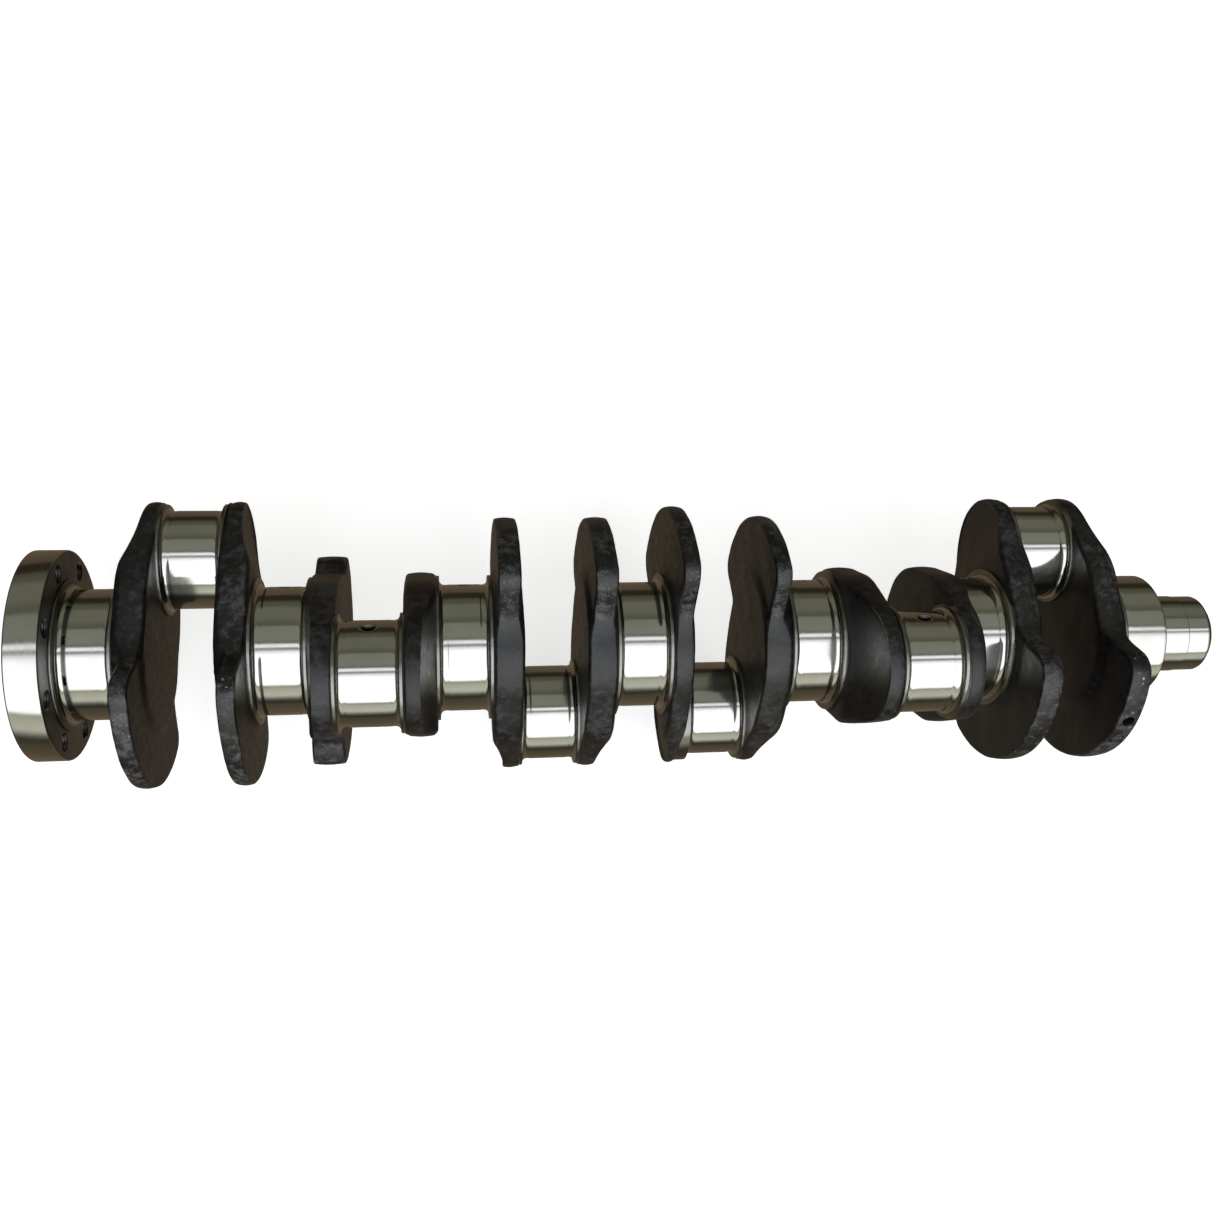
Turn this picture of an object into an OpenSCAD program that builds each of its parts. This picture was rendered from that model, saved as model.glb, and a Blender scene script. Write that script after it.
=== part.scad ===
// Crankshaft of an inline six-cylinder diesel engine: seven main journals, six crankpins in
// three planes 120 degrees apart, twelve webs of which nine carry a counterweight.
// Frame: X runs along the crank axis from the flywheel face (x = 0) to the nose, and
// crankpins 1 and 6 point along +Y. Journals, pins and webs are numbered from the nose.

/* [Journals] */
// Diameter of the seven main journals
main_d = 98; // [84:1:118]
// Length of a main journal between its webs
main_w = 37; // [30:0.5:46]
// Diameter of the six crankpins
pin_d = 76; // [64:1:90]
// Length of a crankpin between its webs
pin_w = 43; // [34:0.5:54]
// Radius of the rolled fillet at each end of a journal
fillet_r = 4; // [2:0.5:6]

/* [Throw] */
// Piston stroke, twice the crankpin's distance from the crank axis
stroke = 150; // [125:0.5:175]

/* [Webs] */
// Thickness of a web from the main journal to the crankpin
web_t = 27.5; // [22:0.5:34]
// Width of the web all round the main journal
boss_rim = 10; // [8:0.5:20]
// Width by which the web's belly, between main journal and crankpin, is wider than the journal
belly_rim = 10.5; // [8:0.5:20]
// Distance of the belly's centre from the crank axis
belly_x = 30; // [20:1:45]
// Width of the web all round the crankpin
lobe_rim = 7; // [6:0.5:14]
// Thickness left at the tip of the web, over the crankpin
tip_t = 12; // [10:0.5:18]
// Width of the ground ring around a journal's end
collar_w = 5; // [3:0.5:6]
// Height of that ring above the forged web
collar_h = 2; // [1:0.25:3]

/* [Counterweights] */
// Radius of a counterweight about the crank axis
weight_r = 101; // [90:1:112]
// Radius of the taller counterweight beside the middle main journal
tall_weight_r = 109; // [95:1:118]
// Thickness of a full counterweight
weight_t = 17; // [13:0.5:20]
// Thickness of a slim counterweight
slim_weight_t = 13; // [10:0.5:16]
// Half the angle that a counterweight spans, in degrees
weight_half = 58; // [44:1:66]
// Half the angle that the wide counterweight beside crankpin 5 spans, in degrees
wide_weight_half = 85; // [60:1:86]
// Radius of that counterweight
wide_weight_r = 88; // [80:1:100]
// Half angle of the counterweights beside the first and last crankpins
end_weight_half = 64; // [50:1:70]
// Radius of a counterweight's corners
weight_corner_r = 13; // [8:1:20]

/* [Rear flange] */
// Thickness of the flange
flange_t = 23.5; // [18:0.5:32]
// Height of the oil slinger ring, between flange and rear journal, above the journal
slinger_h = 8; // [4:0.5:12]
// Length of that ring
slinger_t = 2; // [2:0.5:6]
// Number of flywheel bolt holes
bolt_count = 8; // [6, 8]
// Diameter of a flywheel bolt hole
bolt_hole_d = 13; // [10:0.5:14]
// Gap between the slinger ring and the bolt holes
bolt_gap = 2.5; // [1:0.5:8]
// Wall of the flange outside the bolt holes
bolt_wall = 6; // [4:0.5:12]
// Diameter of the pilot bore in the flange's face
pilot_d = 52; // [40:1:64]
// Depth of the pilot bore
pilot_depth = 16; // [10:0.5:20]

/* [Nose] */
// Diameter of the timing gear's seat
gear_seat_d = 63; // [54:0.5:72]
// Length of the timing gear's seat
gear_seat_l = 31; // [24:1:44]
// Diameter of the pulley's seat at the front end
nose_d = 62; // [52:0.5:70]
// Length of the pulley's seat
nose_l = 22.5; // [14:0.5:40]
// Diameter of a nose bolt hole
nose_hole_d = 10.5; // [8:0.5:12]
// Depth of a nose bolt hole
nose_hole_l = 28; // [18:1:36]

/* [Oil drillings] */
// Diameter of the oil drillings
oil_d = 6.5; // [5:0.5:8]
// Angle of the oil hole on a main journal, in degrees from +Y towards +Z
main_oil_a = 26; // [0:1:60]
// Angle of the oil hole on a crankpin, in degrees before the direction of its throw
pin_oil_a = 72; // [50:1:80]

/* [Dowels] */
// Diameter of the flywheel's locating dowel
flange_dowel_d = 12; // [8:0.5:14]
// Length of that dowel, half of it standing out of the flange
flange_dowel_l = 20; // [14:1:28]
// Diameter of the timing gear's locating pin
gear_dowel_d = 6; // [4:0.5:8]
// Length of that pin, half of it standing out of the front journal
gear_dowel_l = 14; // [10:1:20]

/* [Hidden] */
$fn = 96;

forged = [0.17, 0.18, 0.19];
ground = [0.80, 0.80, 0.79];
turned = [0.62, 0.62, 0.61];
dowel_steel = [0.50, 0.51, 0.53];

throw = stroke / 2;
boss_r = main_d / 2 + boss_rim;
belly_r = main_d / 2 + belly_rim;
lobe_r = pin_d / 2 + lobe_rim;
slinger_d = main_d + 2 * slinger_h;
bolt_pcd = slinger_d + 2 * bolt_gap + bolt_hole_d;
flange_d = bolt_pcd + bolt_hole_d + 2 * bolt_wall;
mains = 7;
pins = mains - 1;
middle_main = 4;
pitch = main_w + pin_w + 2 * web_t;
mains_x = flange_t + slinger_t;
front_x = mains_x + (mains - 1) * pitch + main_w;
nose_x = front_x + gear_seat_l;
end_x = nose_x + nose_l;
edge = 1.5;         // chamfer on ground edges
nose_edge = 4;      // chamfer at the front end
nose_hole_wall = 1.75;  // metal between a nose bolt hole and that chamfer
nose_pcd = nose_d - 2 * (nose_edge + nose_hole_wall) - nose_hole_d;
dowel_a = -67.5;    // direction of the flywheel dowel, in degrees from +Y towards +Z
slant_oil_d = oil_d - 0.5;  // the slanting holes are a drill size smaller
joint_gap = 0.5;    // how far a cutting tool runs past the surface it cuts
flank_r = 25;       // circle about the axis that a counterweight's flanks start from
bite = 0.06;        // how deep outlines that would only touch cross each other instead
gear_dowel_z = -gear_seat_d / 2 - gear_dowel_d;
hidden_oil_mains = [1, 7];          // those whose oil hole is on the opposite side
full_weights = [1, 2, 7, 8, 10];    // webs with a full counterweight
slim_weights = [5, 6, 11, 12];      // webs with a slim one
outer_slim_weights = [5, 12];       // slim ones that stand nearer the crankpin
tall_web = 6;
wide_web = 10;
deep_collar_web = 6;
deep_collar_h = 9;  // height of that web's ring around the crankpin

// Direction of a crankpin's throw, in degrees from +Y towards +Z
function throw_a(pin) = [0, 120, 240, 240, 120, 0][pin - 1];
// How far a counterweight is turned from straight opposite its crankpin
function weight_turn(pin) = [0, -31, -37, -37, -31, 0][pin - 1];
// Side of a crankpin's throw that its oil hole is on: 1 before the throw, -1 past it
function oil_turn(pin) = [1, 1, -1, -1, 1, 1][pin - 1];
// Lower X of a main journal and of a crankpin
function main_x(j) = mains_x + (mains - j) * pitch;
function pin_x(k) = main_x(k + 1) + main_w + web_t;
// Web i belongs to this crankpin; an odd web is on the crankpin's nose side
function web_pin(i) = ceil(i / 2);
function nose_side(i) = i % 2 == 1;
function listed(i, webs) = len(search(i, webs)) > 0;
function weight_radius(i) = i == tall_web ? tall_weight_r : i == wide_web ? wide_weight_r : weight_r;
function weight_angle(i) = i == wide_web ? wide_weight_half
    : web_pin(i) == 1 || web_pin(i) == pins ? end_weight_half : weight_half;
function weighted(i) = listed(i, full_weights) || listed(i, slim_weights);
function thickness(i) = i == wide_web ? web_t - 1.5 * collar_h
    : listed(i, slim_weights) ? slim_weight_t : weight_t;
// Distance from the main journal's side of web i to its counterweight
function weight_z(i) = listed(i, outer_slim_weights)
    ? web_t - 2 * collar_h - thickness(i)
    : listed(i, slim_weights) ? 2 * collar_h : (web_t - thickness(i)) / 2;
// Angle from the line of centres to where a common tangent touches two circles
function tangent_a(r1, r2, distance) = acos((r1 - r2) / distance);
function polar(r, a) = [r * cos(a), r * sin(a)];

// Turns a shape drawn in X and Y, and extruded along Z, so that it runs along +X
module along_x(x = 0) {
    translate([x, 0, 0]) rotate([90, 0, 90]) children();
}

module ring_x(x, l, r) {
    along_x(x) cylinder(h = l, r = r);
}

// Cylinder along X with a chamfer at either end
module turned_x(x, l, r, low_edge, high_edge) {
    along_x(x) rotate_extrude() polygon([
        [0, 0], [r - low_edge, 0], [r, low_edge],
        [r, l - high_edge], [r - high_edge, l], [0, l]
    ]);
}

// Journal whose ends flare into the web with a hollow fillet
module journal_x(x, l, r) {
    along_x(x) rotate_extrude() difference() {
        square([r + fillet_r, l]);
        translate([r + fillet_r, fillet_r]) circle(fillet_r);
        translate([r + fillet_r, l - fillet_r]) circle(fillet_r);
        translate([r, fillet_r]) square([fillet_r + joint_gap, l - 2 * fillet_r]);
    }
}

// Straight drilling from one point to another
module drilling(from, to, d) {
    way = to - from;
    l = norm(way);
    translate(from)
        rotate([0, acos(way[2] / l), atan2(way[1], way[0])])
            cylinder(h = l, d = d);
}

// Main journal that feeds a crankpin, and crankpin that a main journal feeds
function feed_main(k) = k < middle_main ? k : k + 1;
function fed_pin(j) = j < middle_main ? j : j - 1;

// Oil hole from a main journal's surface to its axis
module cross_drilling(main) {
    side = len(search(main, hidden_oil_mains)) > 0 ? 180 : 0;
    m = polar(main_d / 2 + joint_gap, main_oil_a + side);
    start = [main_x(main) + main_w / 2, 0, 0];
    drilling(start - oil_d / norm(m) * [0, m[0], m[1]], start + [0, m[0], m[1]], oil_d);
}

// Slanting oil hole from a main journal's axis to a crankpin's surface
module slant_drilling(pin) {
    a = throw_a(pin);
    p = polar(throw, a) + polar(pin_d / 2, a - pin_oil_a * oil_turn(pin));
    start = [main_x(feed_main(pin)) + main_w / 2, 0, 0];
    mouth = [pin_x(pin) + pin_w / 2, p[0], p[1]];
    reach = 1 + 4 / norm(mouth - start);
    drilling(start, start + (mouth - start) * reach, slant_oil_d);
}

// Area between two circles and, a bite inside them, the tangents they share; the second
// circle lies along +X
module tangent_quad(r1, r2, distance) {
    a = tangent_a(r1, r2, distance);
    polygon([
        polar(r1 - bite, a), polar(r1 - bite, -a),
        [distance, 0] + polar(r2 - bite, -a), [distance, 0] + polar(r2 - bite, a)
    ]);
}

// Outline of the web proper, with the throw along +X
module web_outline() {
    circle(boss_r);
    tangent_quad(boss_r, belly_r, belly_x);
    translate([belly_x, 0]) {
        circle(belly_r);
        tangent_quad(belly_r, lobe_r, throw - belly_x);
    }
    translate([throw, 0]) circle(lobe_r);
}

// Outline of a counterweight that points along +X
module weight_outline(r, half) {
    reach = r - weight_corner_r + bite;
    corner_a = half - asin(weight_corner_r / reach);
    intersection() {
        circle(r);
        union() {
            polygon([[0, 0], polar(2 * r, -corner_a), [2 * r, 0], polar(2 * r, corner_a)]);
            for (side = [-1, 1])
                rotate(side * corner_a) {
                    translate([reach, 0]) circle(weight_corner_r);
                    tangent_quad(flank_r, weight_corner_r, reach);
                }
        }
    }
}

// One web. Drawn with its main journal's side at z = 0, its crankpin's side at web_t, and its
// throw along +X, then turned to its place.
module web_body(i) {
    pin_collar_h = i == deep_collar_web ? deep_collar_h : collar_h;
    body_t = web_t - collar_h - pin_collar_h;
    slope_h = web_t - collar_h - collar_h - tip_t;
    slope_l = throw + lobe_r - boss_r;
    translate([0, 0, collar_h]) difference() {
        linear_extrude(body_t) web_outline();
        translate([boss_r - collar_w, 0, 0])
            rotate([0, -atan(slope_h / slope_l), 0])
                translate([0, -belly_r, -2 * slope_h])
                    cube([2 * lobe_r, 2 * belly_r, 2 * slope_h]);
    }
    cylinder(h = collar_h + joint_gap, d = main_d + 2 * (collar_w + fillet_r / 2));
    translate([throw, 0, web_t - pin_collar_h - joint_gap])
        cylinder(h = pin_collar_h + joint_gap, d = pin_d + 2 * collar_w);
    if (weighted(i))
        translate([0, 0, weight_z(i)])
            rotate(180 + weight_turn(web_pin(i)))
                linear_extrude(thickness(i)) weight_outline(weight_radius(i), weight_angle(i));
}

module web(i) {
    k = web_pin(i);
    color(forged) difference() {
        if (nose_side(i))
            along_x(main_x(k)) mirror([0, 0, 1]) rotate(throw_a(k)) web_body(i);
        else
            along_x(main_x(k + 1) + main_w) rotate(throw_a(k)) web_body(i);
        if (nose_side(i) == (k < middle_main)) slant_drilling(k);
    }
}

module main_journal(j) {
    color(ground) difference() {
        journal_x(main_x(j), main_w, main_d / 2);
        if (j != middle_main) {
            cross_drilling(j);
            slant_drilling(fed_pin(j));
        }
        if (j == 1) {
            front_shoulder();
            gear_dowel_hole();
        }
    }
}

// Takes the fillet off the front end of main journal 1 and chamfers its edge
module front_shoulder() {
    r = main_d / 2;
    reach = r + 2 * fillet_r;
    along_x(front_x - main_w / 2) rotate_extrude() polygon([
        [r, 0], [reach, 0], [reach, main_w], [r - edge, main_w],
        [r - edge, main_w / 2], [r, main_w / 2 - edge]
    ]);
}

module crankpin(k) {
    color(ground) difference() {
        translate([0, throw * cos(throw_a(k)), throw * sin(throw_a(k))])
            journal_x(pin_x(k), pin_w, pin_d / 2);
        slant_drilling(k);
    }
}

// Turns its children from +Y to the flywheel dowel's place, midway between two bolt holes
module at_flange_dowel() {
    rotate([dowel_a, 0, 0]) translate([0, bolt_pcd / 2, 0]) children();
}

module flange_dowel_hole() {
    at_flange_dowel() ring_x(0, flange_dowel_l / 2, flange_dowel_d / 2);
}

module gear_dowel_hole() {
    translate([0, 0, gear_dowel_z])
        ring_x(front_x - gear_dowel_l / 2, gear_dowel_l / 2, gear_dowel_d / 2);
}

// Four tapped holes that run from the front end through the pulley's seat
module nose_bolt_holes() {
    for (n = [0 : 3])
        rotate([n * 90 + 45, 0, 0])
            translate([0, nose_pcd / 2, 0])
                ring_x(end_x - nose_hole_l, nose_hole_l, nose_hole_d / 2);
}

module rear_flange() {
    color(turned) difference() {
        turned_x(0, flange_t, flange_d / 2, edge, edge);
        ring_x(0, pilot_depth, pilot_d / 2);
        for (n = [0 : bolt_count - 1])
            rotate([n * 360 / bolt_count, 0, 0])
                translate([0, bolt_pcd / 2, 0])
                    ring_x(0, flange_t, bolt_hole_d / 2);
        flange_dowel_hole();
    }
}

module oil_slinger() {
    color(turned) turned_x(flange_t, slinger_t, slinger_d / 2, 0, edge);
}

module flywheel_dowel() {
    color(dowel_steel) at_flange_dowel()
        turned_x(-flange_dowel_l / 2, flange_dowel_l, flange_dowel_d / 2, 1, 0);
}

module timing_gear_seat() {
    color(ground) difference() {
        turned_x(front_x, gear_seat_l, gear_seat_d / 2, 0, edge / 3);
        nose_bolt_holes();
    }
}

module pulley_seat() {
    color(ground) difference() {
        turned_x(nose_x, nose_l, nose_d / 2, 0, nose_edge);
        nose_bolt_holes();
    }
}

module timing_gear_dowel() {
    color(dowel_steel) translate([0, 0, gear_dowel_z])
        turned_x(front_x - gear_dowel_l / 2, gear_dowel_l, gear_dowel_d / 2, 0, 0.8);
}

rear_flange();
oil_slinger();
flywheel_dowel();
for (j = [1 : mains])
    main_journal(j);
for (k = [1 : mains - 1])
    crankpin(k);
for (i = [1 : 2 * (mains - 1)])
    web(i);
timing_gear_seat();
pulley_seat();
timing_gear_dowel();
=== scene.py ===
"""Looks of a forged crankshaft for an inline six-cylinder engine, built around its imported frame.

The frame's X runs along the crank axis from the flywheel face to the nose. Sizes here are in
millimetres and follow the frame's nodes; the meshes are made in metres.
"""

import logging
import math
from dataclasses import dataclass
from enum import Enum

import bpy
import bmesh
import numpy as np
from mathutils import Matrix, Vector

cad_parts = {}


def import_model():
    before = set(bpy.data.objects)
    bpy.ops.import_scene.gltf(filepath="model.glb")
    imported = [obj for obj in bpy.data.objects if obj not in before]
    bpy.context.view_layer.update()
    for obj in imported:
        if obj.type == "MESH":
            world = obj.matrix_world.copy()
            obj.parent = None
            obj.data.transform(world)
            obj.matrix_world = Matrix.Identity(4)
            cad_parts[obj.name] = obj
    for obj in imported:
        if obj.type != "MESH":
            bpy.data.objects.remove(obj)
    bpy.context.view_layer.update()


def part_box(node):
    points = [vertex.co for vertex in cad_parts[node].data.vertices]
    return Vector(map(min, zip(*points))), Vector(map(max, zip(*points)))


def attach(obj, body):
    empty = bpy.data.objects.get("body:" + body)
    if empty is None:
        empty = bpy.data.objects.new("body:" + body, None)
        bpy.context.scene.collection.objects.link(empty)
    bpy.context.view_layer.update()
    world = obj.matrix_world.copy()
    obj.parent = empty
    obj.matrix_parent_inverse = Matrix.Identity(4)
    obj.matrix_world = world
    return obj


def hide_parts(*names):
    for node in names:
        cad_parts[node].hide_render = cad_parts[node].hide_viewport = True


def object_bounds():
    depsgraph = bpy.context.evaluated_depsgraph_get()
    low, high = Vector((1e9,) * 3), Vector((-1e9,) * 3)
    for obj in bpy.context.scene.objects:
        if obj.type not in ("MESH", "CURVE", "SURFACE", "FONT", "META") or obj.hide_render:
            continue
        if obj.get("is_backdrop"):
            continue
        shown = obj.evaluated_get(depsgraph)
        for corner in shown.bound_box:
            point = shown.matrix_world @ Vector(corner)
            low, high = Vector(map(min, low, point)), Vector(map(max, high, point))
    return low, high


log = logging.getLogger("crankshaft")

MM = 0.001
BODY = "root"
MAINS = 7
PINS = 6
Point = tuple[float, float, float]
Profile = list[tuple[float, float]]
Colour = tuple[float, float, float]
Socket = bpy.types.NodeSocket

SHARP_DEG = 32.0
SHARP_JOURNAL_DEG = 40.0
SHARP_FORGING_DEG = 60.0


class Slot(str, Enum):
    """Material slots of the record, passed along with the pieces."""

    FORGED = "forged_web"
    GROUND = "ground_journal"
    TURNED = "turned_flange"
    NOSE = "ground_nose"
    DOWEL = "dowel_steel"


class Side(Enum):
    """The two sides of a web: its main journal's and its crankpin's."""

    MAIN = 0
    PIN = 1


# ---------------------------------------------------------------- meshes


class Skin:
    """Points and faces of a closed surface while it is being put together, in millimetres."""

    def __init__(self) -> None:
        """Starts an empty surface."""
        self.points: list[Point] = []
        self.faces: list[tuple[int, ...]] = []
        self.tags: list[float] = []

    def ring(self, points: np.ndarray, tag: float | np.ndarray = 0.0) -> list[int]:
        """Adds a row of points.

        Args:
            points: One point a row.
            tag: The wear and painted sheen value of the points, one for all or one each.

        Returns:
            The new points' numbers.
        """
        first = len(self.points)
        self.points.extend(map(tuple, points.tolist()))
        self.tags.extend(np.broadcast_to(tag, len(points)).tolist())
        return list(range(first, first + len(points)))

    def bridge(self, a: list[int], b: list[int], skip: range = range(0)) -> None:
        """Joins two closed rows of equal length with quads.

        Args:
            a: Numbers of the first row's points.
            b: Numbers of the second row's.
            skip: Columns that stay open.
        """
        n = len(a)
        for i in range(n):
            if i not in skip:
                j = (i + 1) % n
                self.faces.append((a[i], a[j], b[j], b[i]))

    def fan(self, row: list[int], tip: Point) -> None:
        """Closes a row of points with triangles that meet at a tip.

        Args:
            row: Numbers of the row's points.
            tip: Where the triangles meet.
        """
        top = self.ring(np.array([tip]))[0]
        for i, a in enumerate(row):
            self.faces.append((a, row[(i + 1) % len(row)], top))

    def to_object(self, name: str, sharp_deg: float = SHARP_DEG) -> bpy.types.Object:
        """Makes the object, smooth but for edges sharper than an angle.

        Args:
            name: The object's name.
            sharp_deg: The angle between two faces past which their edge stays sharp.

        Returns:
            The linked object.
        """
        mesh = bpy.data.meshes.new(name)
        mesh.from_pydata((np.array(self.points) * MM).tolist(), [], self.faces)
        wear_and_sheen = mesh.attributes.new("wear_and_sheen", "FLOAT", "POINT")
        wear_and_sheen.data.foreach_set("value", np.array(self.tags, np.float32))
        return finish_mesh(mesh, name, sharp_deg)


def finish_mesh(mesh: bpy.types.Mesh, name: str, sharp_deg: float = SHARP_DEG) -> bpy.types.Object:
    """Turns a mesh's faces outwards, shades it smooth with sharp edges kept, and links it.

    Args:
        mesh: A closed mesh.
        name: The object's name.
        sharp_deg: The angle between two faces past which their edge stays sharp.

    Returns:
        The linked object.
    """
    work = bmesh.new()
    work.from_mesh(mesh)
    bmesh.ops.recalc_face_normals(work, faces=work.faces)
    work.to_mesh(mesh)
    work.free()
    mesh.polygons.foreach_set("use_smooth", [True] * len(mesh.polygons))
    mesh.set_sharp_from_angle(angle=math.radians(sharp_deg))
    piece = bpy.data.objects.new(name, mesh)
    bpy.context.scene.collection.objects.link(piece)
    return piece


def circle_points(x: float, r: float, centre: tuple[float, float], angles: np.ndarray) -> np.ndarray:
    """Points of a circle square to X.

    Args:
        x: Place of the circle along X.
        r: Its radius.
        centre: Its centre's Y and Z.
        angles: The points' angles, in radians from +Y towards +Z.

    Returns:
        One point a row.
    """
    y = centre[0] + r * np.cos(angles)
    z = centre[1] + r * np.sin(angles)
    return np.column_stack([np.full(len(angles), x), y, z])


def lathe_skin(profile: Profile, centre: tuple[float, float] = (0.0, 0.0),
               segments: int = 160) -> Skin:
    """Skin of a solid turned about an axis along X.

    Args:
        profile: X and radius of each corner, from one end of the axis to the other.
        centre: The axis's Y and Z.
        segments: How many faces go round.

    Returns:
        The closed skin.
    """
    skin = Skin()
    angles = np.linspace(0, 2 * math.pi, segments, endpoint=False)
    rows = [skin.ring(circle_points(x, r, centre, angles)) for x, r in profile]
    for a, b in zip(rows, rows[1:]):
        skin.bridge(a, b)
    skin.fan(rows[0], (profile[0][0], *centre))
    skin.fan(rows[-1], (profile[-1][0], *centre))
    return skin


def cut(piece: bpy.types.Object, cutters: list[bpy.types.Object],
        sharp_deg: float = SHARP_DEG) -> bpy.types.Object:
    """Cuts solids out of a piece for good and removes them.

    Args:
        piece: The piece to cut.
        cutters: The solids to take away.
        sharp_deg: The angle past which an edge of the result stays sharp.

    Returns:
        The cut piece, under the same name.
    """
    for cutter in cutters:
        step = piece.modifiers.new(cutter.name, "BOOLEAN")
        step.operation = "DIFFERENCE"
        step.solver = "EXACT"
        step.object = cutter
    graph = bpy.context.evaluated_depsgraph_get()
    mesh = bpy.data.meshes.new_from_object(piece.evaluated_get(graph))
    name = piece.name
    for old in [piece, *cutters]:
        bpy.data.objects.remove(old)
    result = finish_mesh(mesh, name, sharp_deg)
    result.name = name
    return result


def round_edge(x: float, r: float, size: float, inwards: int, steps: int = 4) -> Profile:
    """Corner of a turned profile, rounded from a cylinder to its end face.

    Args:
        x: The end face's place.
        r: The cylinder's radius.
        size: Radius of the rounding.
        inwards: Direction of X from the face into the solid, 1 or -1.
        steps: How many faces the rounding has.

    Returns:
        The profile from the face's edge to the cylinder.
    """
    turns = [math.pi / 2 * i / steps for i in range(steps + 1)]
    return [(x + inwards * size * (1 - math.cos(a)), r - size * (1 - math.sin(a))) for a in turns]


def smooth_max(a: np.ndarray, b: np.ndarray, width: float) -> np.ndarray:
    """The larger of two heights, blended where they are within a width of each other."""
    share = np.clip(0.5 + 0.5 * (a - b) / width, 0, 1)
    return b + (a - b) * share + width * share * (1 - share)


def smooth_step(value: np.ndarray, low: float, high: float) -> np.ndarray:
    """Goes from 0 to 1 with no corner while a value goes from low to high."""
    share = np.clip((value - low) / (high - low), 0, 1)
    return share * share * (3 - 2 * share)


def blend(a: np.ndarray | float, b: np.ndarray | float, share: np.ndarray) -> np.ndarray:
    """Goes from a to b with a share."""
    return a + (b - a) * share


class Ripple:
    """Smooth uneven waves over a plane, for the skin of a forging."""

    def __init__(self, seed: int, length: float, waves: int = 7) -> None:
        """Draws the waves.

        Args:
            seed: What the draw starts from.
            length: A typical wave's length, in millimetres.
            waves: How many waves are added up.
        """
        draw = np.random.default_rng(seed)
        heading = draw.uniform(0, 2 * math.pi, waves)
        pace = 2 * math.pi / (length * draw.uniform(0.6, 1.7, waves))
        self.kp = pace * np.cos(heading)
        self.kq = pace * np.sin(heading)
        self.start = draw.uniform(0, 2 * math.pi, waves)

    def __call__(self, p: np.ndarray, q: np.ndarray) -> np.ndarray:
        """Adds up the waves at points of the plane.

        Args:
            p: First coordinate of the points.
            q: Their second coordinate.

        Returns:
            The height at each point, mostly between -1 and 1.
        """
        total = np.zeros(np.shape(p))
        for kp, kq, start in zip(self.kp, self.kq, self.start):
            total += np.sin(kp * p + kq * q + start)
        return total / math.sqrt(2 * len(self.kp))


# ---------------------------------------------------------------- finishes


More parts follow.
